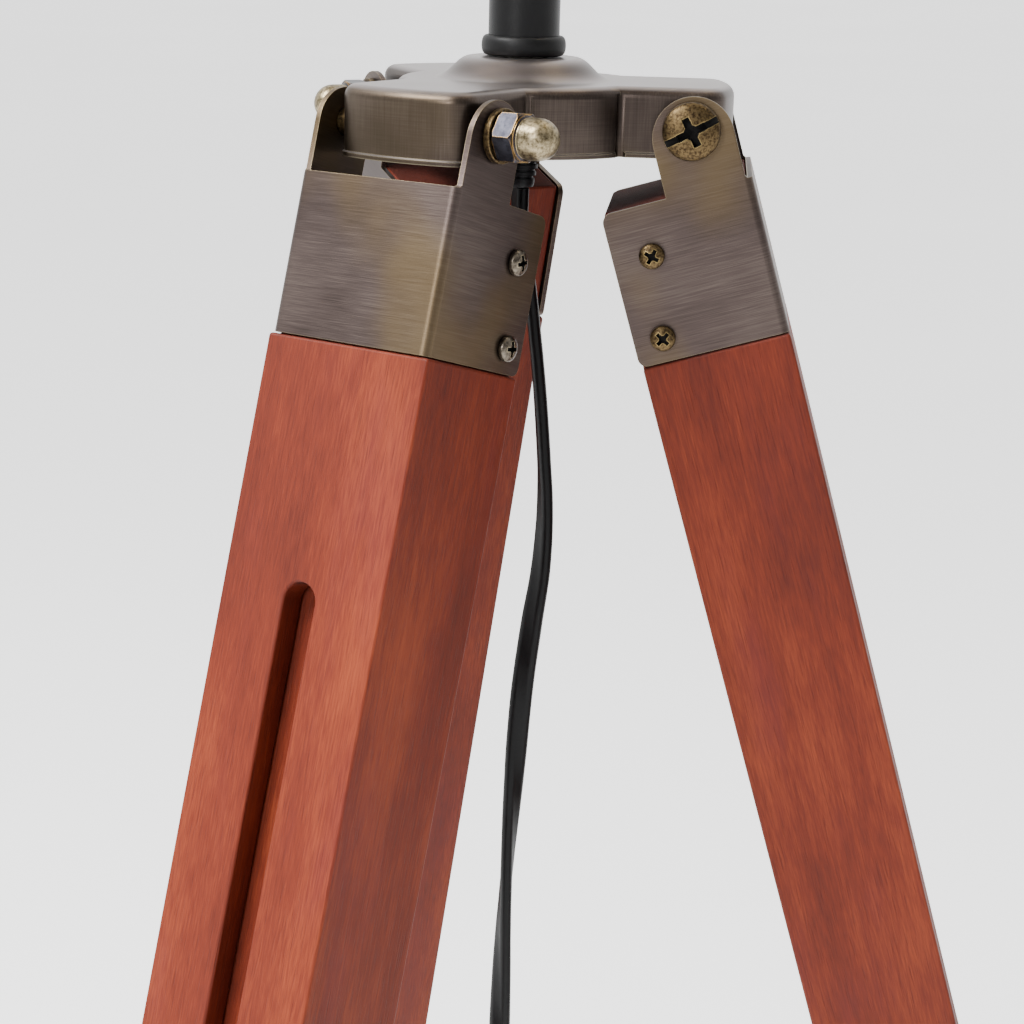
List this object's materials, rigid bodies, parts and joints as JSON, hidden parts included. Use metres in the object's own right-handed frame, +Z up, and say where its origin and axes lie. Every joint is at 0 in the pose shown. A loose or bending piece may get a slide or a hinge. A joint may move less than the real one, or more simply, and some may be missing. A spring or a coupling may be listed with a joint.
{
  "type": "tripod floor lamp",
  "caption": "Tripod floor lamp: hinged telescoping wooden legs in metal brackets, a cast lobed hub, a stem, a drum shade, and a hanging cord with foot switch.",
  "frame": {"origin": "on the floor under the stem's axis, midway between the three feet", "axes": "+Z up along the stem, front leg towards -Y"},
  "size_m": [0.561, 0.5391, 1.5124],
  "materials": {
    "stained_wood": "dark red-brown stain, open grain",
    "antique_steel": "antique brass plating, brushed across the leg",
    "cast_hub": "cast, antique pewter plating, brushed walls",
    "antique_brass": "antique brass",
    "dark_steel": "blackened, worn at the edges",
    "black_steel": "satin black",
    "zinc_steel": "bright zinc",
    "black_rubber": "matt",
    "black_plastic": "satin",
    "opal_glass": "opal",
    "linen": "plain weave linen on a stiff liner"
  },
  "bodies": {
    "head": {"hub": "cast_hub", "stem_tube": "black_steel", "stem_ring": "black_rubber", "hub_nipple": "zinc_steel", "hub_washer": "zinc_steel", "hub_nut": "zinc_steel", "cord_gland": "black_plastic", "lampholder": "black_plastic", "bulb_cap": "zinc_steel", "bulb_glass": "opal_glass", "shade_ring": "black_plastic", "shade_spider": "black_steel", "shade_top_ring": "black_steel", "shade_fabric": "linen", "cord_drop": "black_plastic", "cord_run": "black_plastic", "cord_tail": "black_plastic", "cord_coil": "black_plastic", "foot_switch_body": "black_plastic", "plug": "black_plastic", "front_pivot_bolt": "antique_brass", "front_pivot_washer": "dark_steel", "front_cap_nut": "dark_steel", "right_pivot_bolt": "antique_brass", "right_pivot_washer": "dark_steel", "right_cap_nut": "dark_steel", "left_pivot_bolt": "antique_brass", "left_pivot_washer": "dark_steel", "left_cap_nut": "dark_steel"},
    "front_leg": {"front_bracket": "antique_steel", "front_upper_leg": "stained_wood", "front_upper_screw_a": "zinc_steel", "front_upper_screw_b": "zinc_steel", "front_lower_screw_a": "zinc_steel", "front_lower_screw_b": "zinc_steel"},
    "front_extension": {"front_lower_leg": "stained_wood", "front_foot_pad": "black_rubber", "front_clamp_washer": "antique_brass"},
    "front_knob": {"front_clamp_knob": "antique_brass"},
    "right_leg": {"right_bracket": "antique_steel", "right_upper_leg": "stained_wood", "right_upper_screw_a": "zinc_steel", "right_upper_screw_b": "zinc_steel", "right_lower_screw_a": "zinc_steel", "right_lower_screw_b": "zinc_steel"},
    "right_extension": {"right_lower_leg": "stained_wood", "right_foot_pad": "black_rubber", "right_clamp_washer": "antique_brass"},
    "right_knob": {"right_clamp_knob": "antique_brass"},
    "left_leg": {"left_bracket": "antique_steel", "left_upper_leg": "stained_wood", "left_upper_screw_a": "zinc_steel", "left_upper_screw_b": "zinc_steel", "left_lower_screw_a": "zinc_steel", "left_lower_screw_b": "zinc_steel"},
    "left_extension": {"left_lower_leg": "stained_wood", "left_foot_pad": "black_rubber", "left_clamp_washer": "antique_brass"},
    "left_knob": {"left_clamp_knob": "antique_brass"},
    "foot_switch_button": {"foot_switch_button": "black_plastic"}
  },
  "joints": [
    {"name": "front_leg_fold", "type": "hinge", "parent": "head", "child": "front_leg", "pos_m": [0, -0.0386, 0.91207], "axis": [-1, 0, 0], "range_deg": [-16.45, 15]},
    {"name": "front_leg_extend", "type": "slide", "parent": "front_leg", "child": "front_extension", "axis": [0, -0.2832, -0.9591], "range_m": [-0.01, 0.2]},
    {"name": "front_knob_turn", "type": "hinge", "parent": "front_extension", "child": "front_knob", "pos_m": [0, -0.15052, 0.56975], "axis": [0, -0.9591, 0.2832], "range_deg": [0, 360]},
    {"name": "right_leg_fold", "type": "hinge", "parent": "head", "child": "right_leg", "pos_m": [0.03343, 0.0193, 0.91207], "axis": [0.5, -0.866, 0], "range_deg": [-16.45, 15]},
    {"name": "right_leg_extend", "type": "slide", "parent": "right_leg", "child": "right_extension", "axis": [0.2452, 0.1416, -0.9591], "range_m": [-0.01, 0.2]},
    {"name": "right_knob_turn", "type": "hinge", "parent": "right_extension", "child": "right_knob", "pos_m": [0.13035, 0.07526, 0.56975], "axis": [0.8306, 0.4795, 0.2832], "range_deg": [0, 360]},
    {"name": "left_leg_fold", "type": "hinge", "parent": "head", "child": "left_leg", "pos_m": [-0.03343, 0.0193, 0.91207], "axis": [0.5, 0.866, 0], "range_deg": [-16.45, 15]},
    {"name": "left_leg_extend", "type": "slide", "parent": "left_leg", "child": "left_extension", "axis": [-0.2452, 0.1416, -0.9591], "range_m": [-0.01, 0.2]},
    {"name": "left_knob_turn", "type": "hinge", "parent": "left_extension", "child": "left_knob", "pos_m": [-0.13035, 0.07526, 0.56975], "axis": [-0.8306, 0.4795, 0.2832], "range_deg": [0, 360]},
    {"name": "foot_switch_press", "type": "slide", "parent": "head", "child": "foot_switch_button", "axis": [0, 0, -1], "range_m": [0, 0.0025], "stiffness_N_per_m": 400, "springref_m": -0.001}
  ]
}
